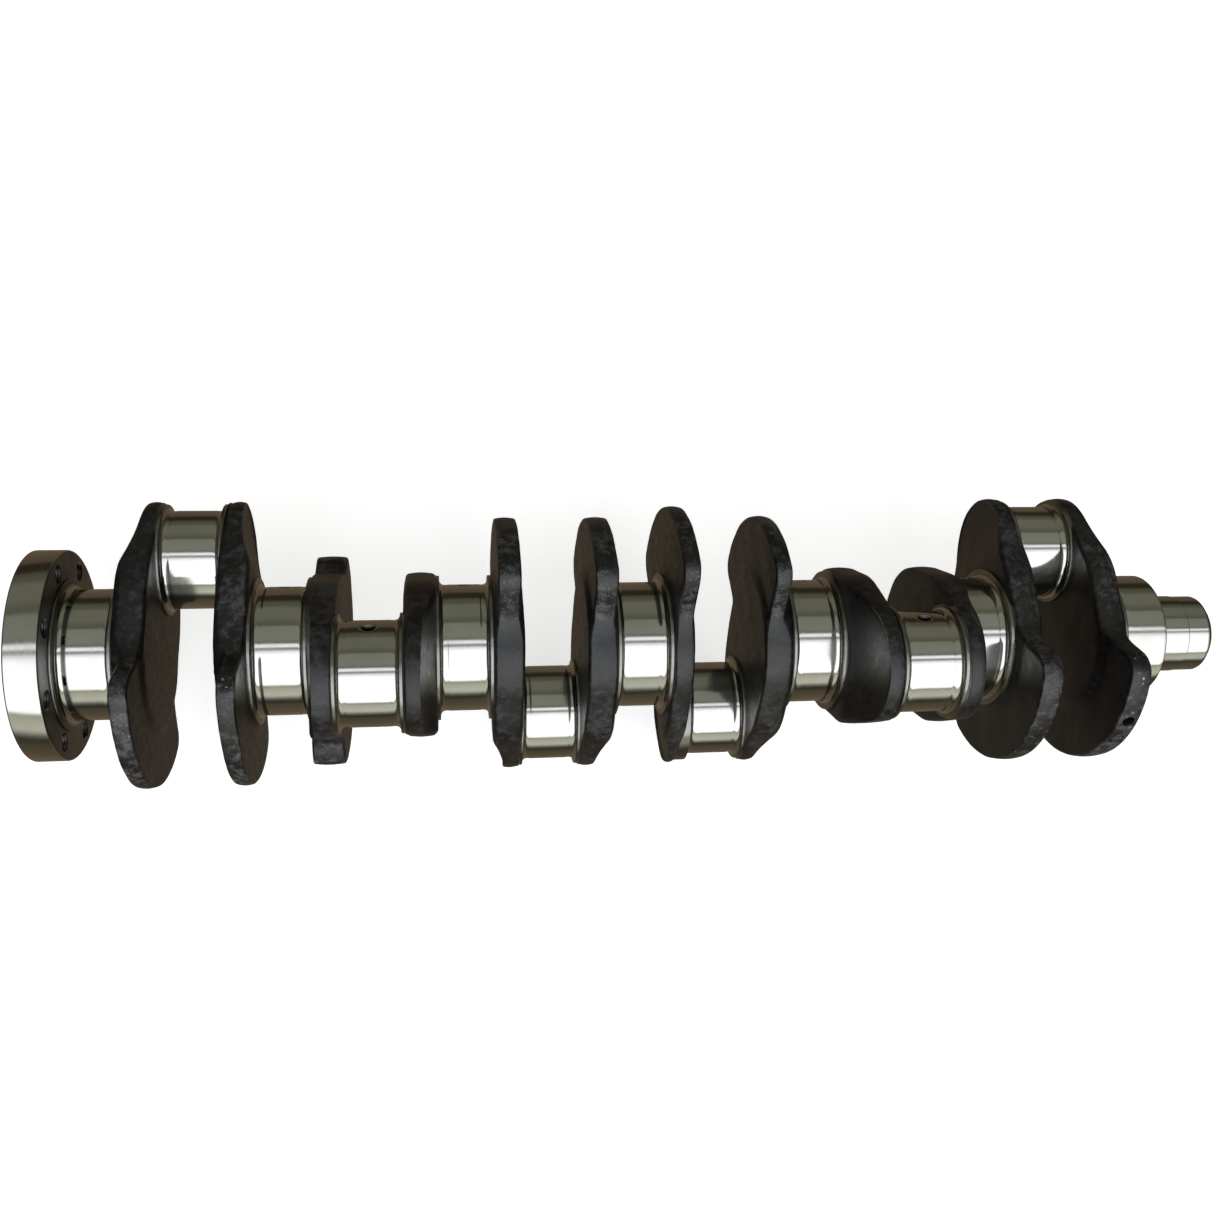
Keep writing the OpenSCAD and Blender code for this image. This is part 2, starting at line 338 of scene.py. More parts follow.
class Board:
    """A material's node board, with short calls for the nodes that the finishes share."""

    def __init__(self, name: str) -> None:
        """Makes the material and its main shader.

        Args:
            name: The material's name.
        """
        self.material = bpy.data.materials.new(name)
        self.material.use_nodes = True
        self.tree = self.material.node_tree
        self.main = self.tree.nodes["Principled BSDF"]
        self.place = self.tree.nodes.new("ShaderNodeTexCoord").outputs["Object"]

    def wire(self, source: Socket | float | tuple, target: Socket) -> None:
        """Links a socket to an input, or sets the input's own value.

        Args:
            source: An output, or a plain value.
            target: The input.
        """
        if isinstance(source, Socket):
            self.tree.links.new(source, target)
        else:
            target.default_value = source

    def stretched(self, scale: Point) -> Socket:
        """Object coordinates scaled along each axis.

        Args:
            scale: The factors.

        Returns:
            The scaled coordinates.
        """
        node = self.tree.nodes.new("ShaderNodeMapping")
        self.wire(self.place, node.inputs["Vector"])
        node.inputs["Scale"].default_value = scale
        return node.outputs["Vector"]

    def noise(self, scale: float, detail: float = 4.0, where: Socket | None = None,
              roughness: float = 0.55) -> Socket:
        """Cloudy noise over the object.

        Args:
            scale: How many lumps go in a metre.
            detail: How many finer octaves it has.
            where: Coordinates to use in place of the object's own.
            roughness: How strong the finer octaves are.

        Returns:
            Its value, around 0.5.
        """
        node = self.tree.nodes.new("ShaderNodeTexNoise")
        self.wire(where or self.place, node.inputs["Vector"])
        node.inputs["Scale"].default_value = scale
        node.inputs["Detail"].default_value = detail
        node.inputs["Roughness"].default_value = roughness
        return node.outputs["Fac"]

    def cells(self, scale: float) -> Socket:
        """Scattered points in space, for pits and flecks.

        Args:
            scale: How many points go in a metre.

        Returns:
            Distance to the nearest one.
        """
        node = self.tree.nodes.new("ShaderNodeTexVoronoi")
        self.wire(self.place, node.inputs["Vector"])
        node.inputs["Scale"].default_value = scale
        return node.outputs["Distance"]

    def spread(self, value: Socket, low: float, high: float,
               to_low: float = 0.0, to_high: float = 1.0) -> Socket:
        """Maps a value from one range to another and holds it there.

        Args:
            value: The value.
            low: Where its range begins.
            high: Where it ends.
            to_low: What the beginning becomes.
            to_high: What the end becomes.

        Returns:
            The mapped value.
        """
        node = self.tree.nodes.new("ShaderNodeMapRange")
        self.wire(value, node.inputs["Value"])
        ends = {"From Min": low, "From Max": high, "To Min": to_low, "To Max": to_high}
        for name, number in ends.items():
            node.inputs[name].default_value = number
        return node.outputs["Result"]

    def step(self, kind: str, a: Socket | float, b: Socket | float) -> Socket:
        """One arithmetic step between two values.

        Args:
            kind: The step, such as ADD.
            a: The first value.
            b: The second.

        Returns:
            The result.
        """
        node = self.tree.nodes.new("ShaderNodeMath")
        node.operation = kind
        self.wire(a, node.inputs[0])
        self.wire(b, node.inputs[1])
        return node.outputs["Value"]

    def add(self, a: Socket | float, b: Socket | float) -> Socket:
        """Sum of two values."""
        return self.step("ADD", a, b)

    def times(self, a: Socket | float, b: Socket | float) -> Socket:
        """Product of two values."""
        return self.step("MULTIPLY", a, b)

    def mix(self, share: Socket, a: Socket | tuple, b: Socket | tuple) -> Socket:
        """Goes from one colour to another.

        Args:
            share: How far to go, from 0 to 1.
            a: The colour at 0.
            b: The colour at 1.

        Returns:
            The mixed colour.
        """
        node = self.tree.nodes.new("ShaderNodeMix")
        node.data_type = "RGBA"
        self.wire(share, node.inputs["Factor"])
        for colour, target in ((a, node.inputs[6]), (b, node.inputs[7])):
            self.wire(colour if isinstance(colour, Socket) else (*colour, 1.0), target)
        return node.outputs[2]

    def attribute(self, name: str) -> Socket:
        """Reads a value that the mesh holds at each point.

        Args:
            name: Its name.

        Returns:
            The value.
        """
        node = self.tree.nodes.new("ShaderNodeAttribute")
        node.attribute_name = name
        return node.outputs["Fac"]

    def bump(self, height: Socket, strength: float, depth: float) -> None:
        """Gives the main shader fine relief.

        Args:
            height: The relief's height, from 0 to 1.
            strength: How much of it shows.
            depth: What a height of 1 is, in metres.
        """
        node = self.tree.nodes.new("ShaderNodeBump")
        self.wire(height, node.inputs["Height"])
        node.inputs["Strength"].default_value = strength
        node.inputs["Distance"].default_value = depth
        self.wire(node.outputs["Normal"], self.main.inputs["Normal"])

    def set(self, **values: float) -> None:
        """Sets constants on the main shader; an underscore stands for a space."""
        for name, value in values.items():
            self.main.inputs[name.replace("_", " ")].default_value = value


@dataclass(frozen=True)
class ForgedScale:
    """Oiled black scale of a drop forging, worn to grey and bare steel on its rims; the rims' lighter grey is
    partly real wear and partly a painted sheen.
    """

    scale_black: Colour = (0.0030, 0.0032, 0.0036)
    scale_grey: Colour = (0.0095, 0.0105, 0.0120)
    oil_brown: Colour = (0.012, 0.0075, 0.0052)
    worn_grey_and_sheen: Colour = (0.085, 0.090, 0.098)
    bare_steel: Colour = (0.60, 0.60, 0.59)
    gloss: float = 0.58

    def make(self) -> bpy.types.Material:
        """Builds the finish from mottled scale, oil stains, rims rubbed grey with a painted sheen, and pits.

        Returns:
            The material.
        """
        board = Board("forged_scale")
        clouds = board.noise(21.0, 4.0)
        mottle = board.noise(170.0, 5.0, roughness=0.6)
        grain = board.noise(620.0, 4.0, roughness=0.6)
        stains = board.spread(board.noise(11.0, 3.0), 0.46, 0.72)
        wear_and_sheen = board.attribute("wear_and_sheen")
        black = board.mix(board.spread(mottle, 0.36, 0.68), self.scale_black, self.scale_grey)
        oiled = board.mix(board.times(stains, 0.7), black, self.oil_brown)
        lumps = board.add(board.times(mottle, 0.6), board.times(grain, 0.4))
        patches = board.spread(board.times(lumps, board.add(clouds, 0.45)), 0.46, 0.60)
        # rims rubbed to grey: real wear, and a painted sheen where the rims catch the light
        rubbed_and_sheen = board.times(patches, board.spread(wear_and_sheen, 0.2, 1.0))
        greyed = board.mix(board.times(rubbed_and_sheen, 0.8), oiled, self.worn_grey_and_sheen)
        flecks = board.times(board.spread(board.noise(330.0, 3.0), 0.63, 0.67),
                             board.spread(board.noise(36.0, 2.0), 0.53, 0.62))
        bare = board.times(flecks, board.spread(wear_and_sheen, 0.8, 1.6))
        board.wire(board.mix(bare, greyed, self.bare_steel), board.main.inputs["Base Color"])
        board.wire(bare, board.main.inputs["Metallic"])
        matt = board.add(board.spread(mottle, 0.3, 0.7, 0.30, 0.48), board.times(rubbed_and_sheen, 0.08))
        board.wire(matt, board.main.inputs["Roughness"])
        board.set(Specular_IOR_Level=self.gloss)
        pits = board.spread(board.cells(300.0), 0.0, 0.4)
        relief = board.add(board.times(grain, 0.35), board.times(pits, 0.25))
        relief = board.times(relief, board.spread(wear_and_sheen, 0.0, 1.3, 0.3, 1.5))
        board.bump(board.add(relief, board.times(clouds, 0.9)), 0.5, 0.0006)
        return board.material


@dataclass(frozen=True)
class GroundSteel:
    """Steel ground and lapped between centres, so that its fine marks run round the axis."""

    name: str
    steel: Colour = (0.63, 0.625, 0.60)
    shade: Colour = (0.53, 0.52, 0.48)
    smooth: float = 0.07
    rough: float = 0.15
    marks: float = 0.05

    def make(self) -> bpy.types.Material:
        """Builds the finish from a faint haze and fine marks round the axis.

        Returns:
            The material.
        """
        board = Board(self.name)
        lines = board.noise(1.0, 3.0, where=board.stretched((2600.0, 26.0, 26.0)), roughness=0.7)
        haze = board.noise(34.0, 4.0)
        tone = board.times(board.spread(haze, 0.35, 0.75), 0.6)
        board.wire(board.mix(tone, self.steel, self.shade), board.main.inputs["Base Color"])
        worn = board.add(board.spread(lines, 0.35, 0.7, self.smooth, self.rough),
                         board.spread(haze, 0.45, 0.8, 0.0, 0.05))
        board.wire(worn, board.main.inputs["Roughness"])
        board.set(Metallic=1.0)
        board.bump(lines, self.marks, 0.00004)
        return board.material


@dataclass(frozen=True)
class TurnedFace:
    """End face left by a turning tool: satin steel with rings about the crank axis, its dark colour a painted
    shade.
    """

    name: str = "turned_face_painted_shade"
    steel: Colour = (0.20, 0.20, 0.195)
    shade: Colour = (0.085, 0.085, 0.082)

    def make(self) -> bpy.types.Material:
        """Builds the finish from fine rings and a haze.

        Returns:
            The material.
        """
        board = Board(self.name)
        flat = board.stretched((0.0, 1.0, 1.0))
        reach = board.tree.nodes.new("ShaderNodeVectorMath")
        reach.operation = "LENGTH"
        board.wire(flat, reach.inputs[0])
        rings = board.tree.nodes.new("ShaderNodeTexNoise")
        rings.noise_dimensions = "1D"
        rings.inputs["Scale"].default_value = 1500.0
        rings.inputs["Detail"].default_value = 3.0
        board.wire(reach.outputs["Value"], rings.inputs["W"])
        haze = board.noise(30.0, 5.0)
        tone = board.add(board.times(rings.outputs["Fac"], 0.5), board.times(haze, 0.5))
        board.wire(board.mix(board.spread(tone, 0.35, 0.66), self.steel, self.shade),
                   board.main.inputs["Base Color"])
        board.wire(board.spread(haze, 0.3, 0.75, 0.30, 0.46), board.main.inputs["Roughness"])
        board.set(Metallic=1.0)
        board.bump(rings.outputs["Fac"], 0.25, 0.0001)
        return board.material


class Finishes:
    """The finishes of the crankshaft, each made once."""

    def __init__(self) -> None:
        """Makes the materials."""
        self.forged = ForgedScale().make()
        self.journal = GroundSteel("ground_journal").make()
        # darker copy of the ground steel: painted shade on the shoulder rings, the slinger ring and the
        # journals' faces that look along X
        self.shoulder = GroundSteel(
            "ground_shoulder", (0.30, 0.295, 0.28), (0.17, 0.165, 0.155), 0.18, 0.32, 0.2).make()
        self.rim = GroundSteel(
            "ground_rim", (0.60, 0.595, 0.57), (0.50, 0.49, 0.46), 0.09, 0.18, 0.09).make()
        self.nose = GroundSteel(
            "ground_nose", (0.61, 0.605, 0.585), (0.51, 0.50, 0.47), 0.08, 0.17, 0.08).make()
        self.dowel = GroundSteel(
            "hardened_dowel", (0.47, 0.48, 0.50), (0.38, 0.39, 0.41), 0.14, 0.24, 0.1).make()
        # dark turned steel for faces that look along X: real turning rings, with painted shade in its colour
        self.face = TurnedFace().make()
        # very dark steel in holes and bores: painted shade in the recesses
        self.bore = TurnedFace("bore_painted_shade", (0.11, 0.11, 0.105), (0.04, 0.04, 0.038)).make()


# ---------------------------------------------------------------- the crankshaft


@dataclass(frozen=True)
class Layout:
    """Where the frame's nodes are, in millimetres."""

    fillet: float = 4.0
    ring_width: float = 5.0
    collar: float = 2.0

    def span(self, node: str) -> tuple[float, float]:
        """Lowest and highest X of a node."""
        low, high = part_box(node)
        return low.x / MM, high.x / MM

    def centre(self, node: str) -> tuple[float, float]:
        """Y and Z of the middle of a round node."""
        low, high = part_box(node)
        return (low.y + high.y) / 2 / MM, (low.z + high.z) / 2 / MM

    def radius(self, node: str) -> float:
        """Half of a node's height."""
        low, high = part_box(node)
        return (high.z - low.z) / 2 / MM

    def journal_radius(self, node: str) -> float:
        """Radius of a journal, without the fillets at its ends."""
        return self.radius(node) - self.fillet

    def throw(self, pin: int) -> tuple[float, float]:
        """Distance of a crankpin from the crank axis and its direction, in radians from +Y."""
        y, z = self.centre(f"crankpin_{pin}")
        return math.hypot(y, z), math.atan2(z, y)


def place(piece: bpy.types.Object, slot: Slot, *nodes: str) -> bpy.types.Object:
    """Lets a finished piece ride on the crank and stand for its nodes.

    Args:
        piece: The piece, in place.
        slot: The record's slot that its finish belongs to; not used.
        nodes: The frame's nodes that it stands for.

    Returns:
        The same piece.
    """
    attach(piece, BODY)
    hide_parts(*nodes)
    log.info("%s: %d faces, for %s", piece.name, len(piece.data.polygons), ", ".join(nodes))
    return piece


def dress(piece: bpy.types.Object, finish: bpy.types.Material, face: bpy.types.Material | None = None,
          face_slope: float = 0.9) -> bpy.types.Object:
    """Puts a finish on a piece, and another on the faces that look along X, which is darker as painted shade.

    Args:
        piece: The piece.
        finish: Its main finish.
        face: The finish of the faces square to X, if it differs: a darker steel that paints shade.
        face_slope: How straight along X a face must look to count.

    Returns:
        The same piece.
    """
    piece.data.materials.clear()
    piece.data.materials.append(finish)
    if face:
        piece.data.materials.append(face)
        for polygon in piece.data.polygons:
            polygon.material_index = int(abs(polygon.normal.x) > face_slope)
    return piece


def paint_bore_shade(piece: bpy.types.Object, finish: bpy.types.Material, radius: float,
               centre: tuple[float, float] = (0.0, 0.0)) -> None:
    """Puts a third finish on the walls inside a radius, which are those of a dressed piece's holes.

    Args:
        piece: The piece, with two finishes on it.
        finish: The holes' finish, a painted shade.
        radius: How far from the axis a wall may be to count.
        centre: The axis's Y and Z.
    """
    piece.data.materials.append(finish)
    for polygon in piece.data.polygons:
        reach = math.hypot(polygon.center.y / MM - centre[0], polygon.center.z / MM - centre[1])
        if polygon.material_index == 0 and reach < radius:
            polygon.material_index = 2


@dataclass
class OilHole:
    """Mouth of an oil drilling in a journal, with its edge rounded over."""

    angle: float
    radius: float = 3.25
    stretch: float = 1.0
    depth: float = 14.0
    mouth: tuple[tuple[float, float], ...] = (
        (6.4, 0.0), (5.3, 0.04), (4.6, 0.22), (4.1, 0.7), (3.7, 1.5), (3.35, 2.8))

    def loops(self, border: np.ndarray) -> list[np.ndarray]:
        """Rows of points from the border of the patch round the hole down to its bottom.

        Args:
            border: Place along and across of each border point, from the hole's centre.

        Returns:
            For each row, place along, place across and depth of each point.
        """
        heading = np.arctan2(border[:, 1], border[:, 0])
        rows = []
        widest = self.mouth[0][0]
        edge = np.column_stack([widest * self.stretch * np.cos(heading), widest * np.sin(heading)])
        for share in (0.5, 1.0):
            flat = border * (1 - share) + edge * share
            rows.append(np.column_stack([flat, np.zeros(len(flat))]))
        for r, depth in [*self.mouth[1:], (self.radius, 5.0), (self.radius, self.depth)]:
            rows.append(np.column_stack([
                r * self.stretch * np.cos(heading), r * np.sin(heading), np.full(len(heading), depth)]))
        return rows


@dataclass
class Journal:
    """One ground journal, main or crankpin, with rolled fillets and an oil hole."""

    node: str
    layout: Layout
    oil: OilHole | None
    open_front: bool = False
    segments: int = 176
    patch: int = 6
    patch_pitch: float = 1.65
    undercut: float = 0.22
    undercut_width: float = 2.6
    fillet_steps: int = 7

    def profile(self) -> Profile:
        """Draws half of the journal's section.

        Returns:
            X and radius of each corner, from the flywheel's end to the nose's.
        """
        low, high = self.layout.span(self.node)
        r = self.layout.journal_radius(self.node)
        near = self.end_profile(r)
        middle = (low + high) / 2
        rows = [(low + s, radius) for s, radius in near]
        rows += [(middle + k * self.patch_pitch, r) for k in range(-self.patch, self.patch + 1)]
        if self.open_front:
            rows += [(high - 4.0, r), *reversed(round_edge(high, r, 1.2, -1))]
        else:
            rows += [(high - s, radius) for s, radius in reversed(near)]
        return rows

    def end_profile(self, r: float) -> Profile:
        """Draws the fillet and the undercut at a journal's end.

        Args:
            r: The journal's radius.

        Returns:
            Distance from the end and radius of each corner.
        """
        size = self.layout.fillet
        width, floor = self.undercut_width, r - self.undercut
        turns = [math.pi / 2 * i / self.fillet_steps for i in range(self.fillet_steps + 1)]
        rows = [(size * (1 - math.cos(a)), floor + (size + self.undercut) * (1 - math.sin(a))) for a in turns]
        rows += [(size + width * 0.7, floor), (size + width, r - 0.03), (size + width + 0.5, r)]
        return rows

    def build(self) -> bpy.types.Object:
        """Turns the journal and drills its oil hole.

        Returns:
            The journal's piece.
        """
        profile = self.profile()
        centre = self.layout.centre(self.node)
        r = self.layout.journal_radius(self.node)
        step = 2 * math.pi / self.segments
        start = self.oil.angle - self.patch * step if self.oil else 0.0
        angles = start + step * np.arange(self.segments)
        skin = Skin()
        rows = [skin.ring(circle_points(x, radius, centre, angles)) for x, radius in profile]
        first = len(self.end_profile(r))
        last = first + 2 * self.patch
        hole = range(2 * self.patch) if self.oil else range(0)
        for i, (a, b) in enumerate(zip(rows, rows[1:])):
            skin.bridge(a, b, hole if first <= i < last else range(0))
        skin.fan(rows[0], (profile[0][0], *centre))
        skin.fan(rows[-1], (profile[-1][0], *centre))
        if self.oil:
            self.drill(skin, rows[first:last + 1], centre, r)
        return skin.to_object(self.node + "_ground", SHARP_JOURNAL_DEG)

    def drill(self, skin: Skin, rows: list[list[int]], centre: tuple[float, float], r: float) -> None:
        """Closes the patch left open in the journal's wall with the oil hole's mouth and bore.

        Args:
            skin: The journal's skin.
            rows: The rows of points across the patch.
            centre: The journal's axis.
            r: The journal's radius.
        """
        width = 2 * self.patch
        border = [rows[0][c] for c in range(width)] + [row[width] for row in rows[:-1]]
        border += [rows[-1][c] for c in range(width, 0, -1)] + [row[0] for row in reversed(rows[1:])]
        points = np.array([skin.points[i] for i in border])
        low, high = self.layout.span(self.node)
        middle = (low + high) / 2
        around = np.arctan2(points[:, 2] - centre[1], points[:, 1] - centre[0]) - self.oil.angle
        around = (around + math.pi) % (2 * math.pi) - math.pi
        flat = np.column_stack([points[:, 0] - middle, r * around])
        out = np.array([math.cos(self.oil.angle), math.sin(self.oil.angle)])
        side = np.array([-out[1], out[0]])
        loop = border
        for row in self.oil.loops(flat):
            across = r * np.sin(row[:, 1] / r)
            height = np.sqrt(r * r - across ** 2) - row[:, 2]
            yz = np.array(centre) + height[:, None] * out + across[:, None] * side
            following = skin.ring(np.column_stack([middle + row[:, 0], yz]))
            skin.bridge(loop, following)
            loop = following
        bottom = np.array(centre) + (r - self.oil.depth - 1.5) * out
        skin.fan(loop, (middle, *bottom))


@dataclass
class Journals:
    """Seven main journals and six crankpins."""

    layout: Layout
    finishes: Finishes
    main_oil_deg: float = 26.0
    pin_oil_deg: float = 72.0
    pin_oil_stretch: float = 1.22
    bore_below: float = 0.9
    dry_mains: tuple[int, ...] = (4,)
    far_mains: tuple[int, ...] = (1, 7)
    far_pins: tuple[int, ...] = (3, 4)

    def main_oil(self, number: int) -> OilHole | None:
        """Oil hole of a main journal.

        Args:
            number: The journal's number.

        Returns:
            The hole, or none for a journal without one.
        """
        if number in self.dry_mains:
            return None
        turn = 180.0 if number in self.far_mains else 0.0
        return OilHole(math.radians(self.main_oil_deg + turn))

    def pin_oil(self, number: int) -> OilHole:
        """Oil hole of a crankpin, drawn out along X because its drilling slants."""
        lead = math.radians(self.pin_oil_deg) * (-1 if number in self.far_pins else 1)
        return OilHole(self.layout.throw(number)[1] - lead, stretch=self.pin_oil_stretch)

    def build(self) -> None:
        """Builds, dresses and places every journal."""
        for number in range(1, MAINS + 1):
            oil = self.main_oil(number)
            self.finish(Journal(f"main_journal_{number}", self.layout, oil, open_front=number == 1))
        for number in range(1, PINS + 1):
            self.finish(Journal(f"crankpin_{number}", self.layout, self.pin_oil(number)))

    def finish(self, journal: Journal) -> None:
        """Builds one journal and gives it its ground finish.

        Args:
            journal: The journal.
        """
        # the journal's faces that look along X get the darker steel: painted shade
        piece = dress(journal.build(), self.finishes.journal, self.finishes.shoulder)
        r = self.layout.journal_radius(journal.node)
        # painted shade inside the oil holes
        paint_bore_shade(piece, self.finishes.bore, r - self.bore_below, self.layout.centre(journal.node))
        place(piece, Slot.GROUND, journal.node)


@dataclass
class ForgedWeb:
    """One forged web, drawn in its own plane: p along its throw, q across, and t from its main side."""

    number: int
    layout: Layout
    throw: float
    turn: float
    boss_rim: float = 10.0
    belly_rim: float = 10.5
    belly_at: float = 30.0
    lobe_rim: float = 7.0
    tip: float = 12.0
    weight_reach: float = 0.0
    weight_half: float = math.radians(52.0)
    weight_turn: float = 0.0
    weight_low: float = 5.0
    weight_high: float = 22.0
    weight_corner: float = 13.0
    flank: float = 25.0
    pin_collar: float = 2.0
    main_edge: float = 5.5
    pin_edge: float = 4.0
    crown: float = 0.9
    hollow: float = 2.8
    # rim wear and painted sheen, as a factor
    wear_and_sheen: float = 1.0
    merge: float = 15.0
    face_blend: float = 9.0
    weight_edge: float = 3.5
    uneven: float = 0.25
    wave: float = 0.22
    dents: float = 0.07
    thinnest: float = 2.5
    segments: int = 216

    def __post_init__(self) -> None:
        """Reads the web's journals from the frame."""
        pin = (self.number + 1) // 2
        main = pin + 1 - self.number % 2
        self.pin_node = f"crankpin_{pin}"
        self.main_node = f"main_journal_{main}"
        self.boss = self.layout.journal_radius(self.main_node) + self.boss_rim
        self.belly = self.layout.journal_radius(self.main_node) + self.belly_rim
        self.lobe = self.layout.journal_radius(self.pin_node) + self.lobe_rim
        low, high = self.layout.span(f"web_{self.number}")
        self.thick = high - low
        self.start, self.way = (high, -1) if self.number % 2 else (low, 1)
        self.swell = Ripple(self.number, 46.0)
        self.hammer = Ripple(100 + self.number, 15.0)

    def capsule(self, p: np.ndarray, q: np.ndarray, a: float, ra: float, b: float,
                rb: float) -> np.ndarray:
        """Distance to the outline round two circles on the line of the throw.

        Args:
            p: Place of the points along the throw.
            q: Their place across it.
            a: Centre of the first circle.
            ra: Its radius.
            b: Centre of the second circle.
            rb: Its radius.

        Returns:
            The distance at each point, negative inside.
        """
        slope = (ra - rb) / (b - a)
        rise = math.sqrt(1 - slope * slope)
        along, across = p - a, np.abs(q)
        foot = -slope * across + rise * along
        side = rise * across + slope * along - ra
        near = np.hypot(along, across) - ra
        far = np.hypot(along - (b - a), across) - rb
        return np.where(foot < 0, near, np.where(foot > rise * (b - a), far, side))

    def body_distance(self, p: np.ndarray, q: np.ndarray) -> np.ndarray:
        """Distance to the outline of the web proper.

        Args:
            p: Place of the points along the throw.
            q: Their place across it.

        Returns:
            The distance at each point, negative inside.
        """
        lower = self.capsule(p, q, 0.0, self.boss, self.belly_at, self.belly)
        upper = self.capsule(p, q, self.belly_at, self.belly, self.throw, self.lobe)
        return np.minimum(lower, upper)

    def weight_distance(self, p: np.ndarray, q: np.ndarray) -> np.ndarray:
        """Distance to the outline of the counterweight.

        Args:
            p: Place of the points along the throw.
            q: Their place across it.

        Returns:
            The distance at each point, negative inside, or far off with no weight.
        """
        if not self.weight_reach:
            return np.full(np.shape(p), 99.0)
        heading = math.pi + self.weight_turn
        along = p * math.cos(heading) + q * math.sin(heading)
        across = np.abs(-p * math.sin(heading) + q * math.cos(heading))
        reach = self.weight_reach - self.weight_corner
        corner = self.weight_half - math.asin(self.weight_corner / reach)
        normal = corner + math.acos((self.flank - self.weight_corner) / reach)
        rim = np.hypot(along, across) - reach
        flank = along * math.cos(normal) + across * math.sin(normal) - self.flank + self.weight_corner
        outside = np.hypot(np.maximum(rim, 0), np.maximum(flank, 0))
        return outside + np.minimum(np.maximum(rim, flank), 0) - self.weight_corner

    def outline_distance(self, p: np.ndarray, q: np.ndarray) -> np.ndarray:
        """Distance to the whole web with its counterweight blended in."""
        return -smooth_max(-self.body_distance(p, q), -self.weight_distance(p, q), self.merge)

    def rim_radius(self, headings: np.ndarray) -> np.ndarray:
        """Finds the web's rim, slightly uneven as forged.

        Args:
            headings: Directions from the crank axis, in radians from the throw.

        Returns:
            Distance from the crank axis to the rim along each of them.
        """
        low = np.full(len(headings), 20.0)
        high = np.full(len(headings), self.throw + self.lobe + self.weight_reach)
        for _ in range(40):
            middle = (low + high) / 2
            inside = self.outline_distance(middle * np.cos(headings), middle * np.sin(headings)) < 0
            low, high = np.where(inside, middle, low), np.where(inside, high, middle)
        swell = np.clip(self.swell(low * np.cos(headings), low * np.sin(headings)), -1, 1)
        return low - self.uneven + self.uneven * swell

    def drop(self, distance: np.ndarray, edge: np.ndarray) -> np.ndarray:
        """How far a face falls away near the outline, where its edge is rounded."""
        inside = np.clip(-distance, 0, edge)
        return edge - np.sqrt(np.maximum(edge ** 2 - (edge - inside) ** 2, 0))

    def faces(self, p: np.ndarray, q: np.ndarray) -> tuple[np.ndarray, np.ndarray]:
        """Heights of the web's main side and crankpin side.

        Args:
            p: Place along the throw.
            q: Place across it.

        Returns:
            The lower and the upper height.
        """
        reach = self.throw + self.lobe - self.boss
        rise = (self.thick - 2 * self.layout.collar - self.tip) / reach
        along = p - self.boss + self.layout.ring_width
        slope = along * rise + self.hollow * np.sin(np.clip(along / reach, 0, 1) * math.pi)
        bevel = smooth_max(slope, np.zeros(np.shape(p)), 2.0)
        thin = smooth_step(self.body_distance(p, q), -self.face_blend / 2, self.face_blend / 2)
        outline = self.outline_distance(p, q)
        low = blend(self.layout.collar + bevel, self.weight_low, thin)
        low += self.drop(outline, blend(self.main_edge, self.weight_edge, thin))
        high = blend(self.thick - self.pin_collar, self.weight_high, thin)
        high -= self.drop(outline, blend(self.pin_edge, self.weight_edge, thin))
        low += self.wave * self.swell(p, q) + self.dents * self.hammer(p, q)
        high += self.wave * self.swell(q, -p) + self.dents * self.hammer(q, p)
        middle, half = (low + high) / 2, np.maximum((high - low) / 2, self.thinnest)
        return middle - half, middle + half

    def build(self) -> bpy.types.Object:
        """Builds the web's forging, without its ground rings.

        Returns:
            The web's piece.
        """
        headings = np.linspace(0, 2 * math.pi, self.segments, endpoint=False)
        rim = self.rim_radius(headings) - self.crown
        insets = [8.6, 7.2, 5.9, 4.8, 3.8, 2.9, 2.1, 1.4, 0.85, 0.4, 0.12, 0.0]
        radii = [(rim - 10.0) * i / 24 for i in range(1, 25)] + [rim - inset for inset in insets]
        edge = [0.0] * 30 + [0.1, 0.25, 0.45, 0.7, 0.9, 1.0]
        out = rim * np.cos(headings), rim * np.sin(headings)
        # rim wear and painted sheen, stronger on the counterweights' rims
        wear_and_sheen = self.wear_and_sheen * np.where(self.weight_distance(*out) < 3.0, 1.0, 0.5)
        skin = Skin()
        uppers, lowers = [], []
        for r, share in zip(radii, edge):
            p, q = r * np.cos(headings), r * np.sin(headings)
            low, high = self.faces(p, q)
            uppers.append(skin.ring(self.world(p, q, high), share * wear_and_sheen))
            lowers.append(skin.ring(self.world(p, q, low), share * wear_and_sheen))
        walls = []
        for share in (0.06, 0.16, 0.30, 0.42, 0.46, 0.54, 0.58, 0.70, 0.84, 0.94):
            ridge = 0.25 if 0.45 < share < 0.55 else 0
            r = rim + self.crown * min(1 - (2 * share - 1) ** 2 + ridge, 1.0)
            walls.append(skin.ring(self.world(r * np.cos(headings), r * np.sin(headings),
                                              high + (low - high) * share), wear_and_sheen))
        rows = uppers + walls + lowers[::-1]
        for a, b in zip(rows, rows[1:]):
            skin.bridge(a, b)
        for row in (rows[0], rows[-1]):
            tip = np.mean([skin.points[i] for i in row], axis=0)
            skin.fan(row, tuple(tip))
        return skin.to_object(f"web_{self.number}_forging", SHARP_FORGING_DEG)

    def world(self, p: np.ndarray, q: np.ndarray, t: np.ndarray) -> np.ndarray:
        """Turns points of the web's plane to the crank's frame.

        Args:
            p: Place along the throw.
            q: Place across it.
            t: Height above the main side.

        Returns:
            One point a row.
        """
        y = p * math.cos(self.turn) - q * math.sin(self.turn)
        z = p * math.sin(self.turn) + q * math.cos(self.turn)
        return np.column_stack([self.start + self.way * t, y, z])

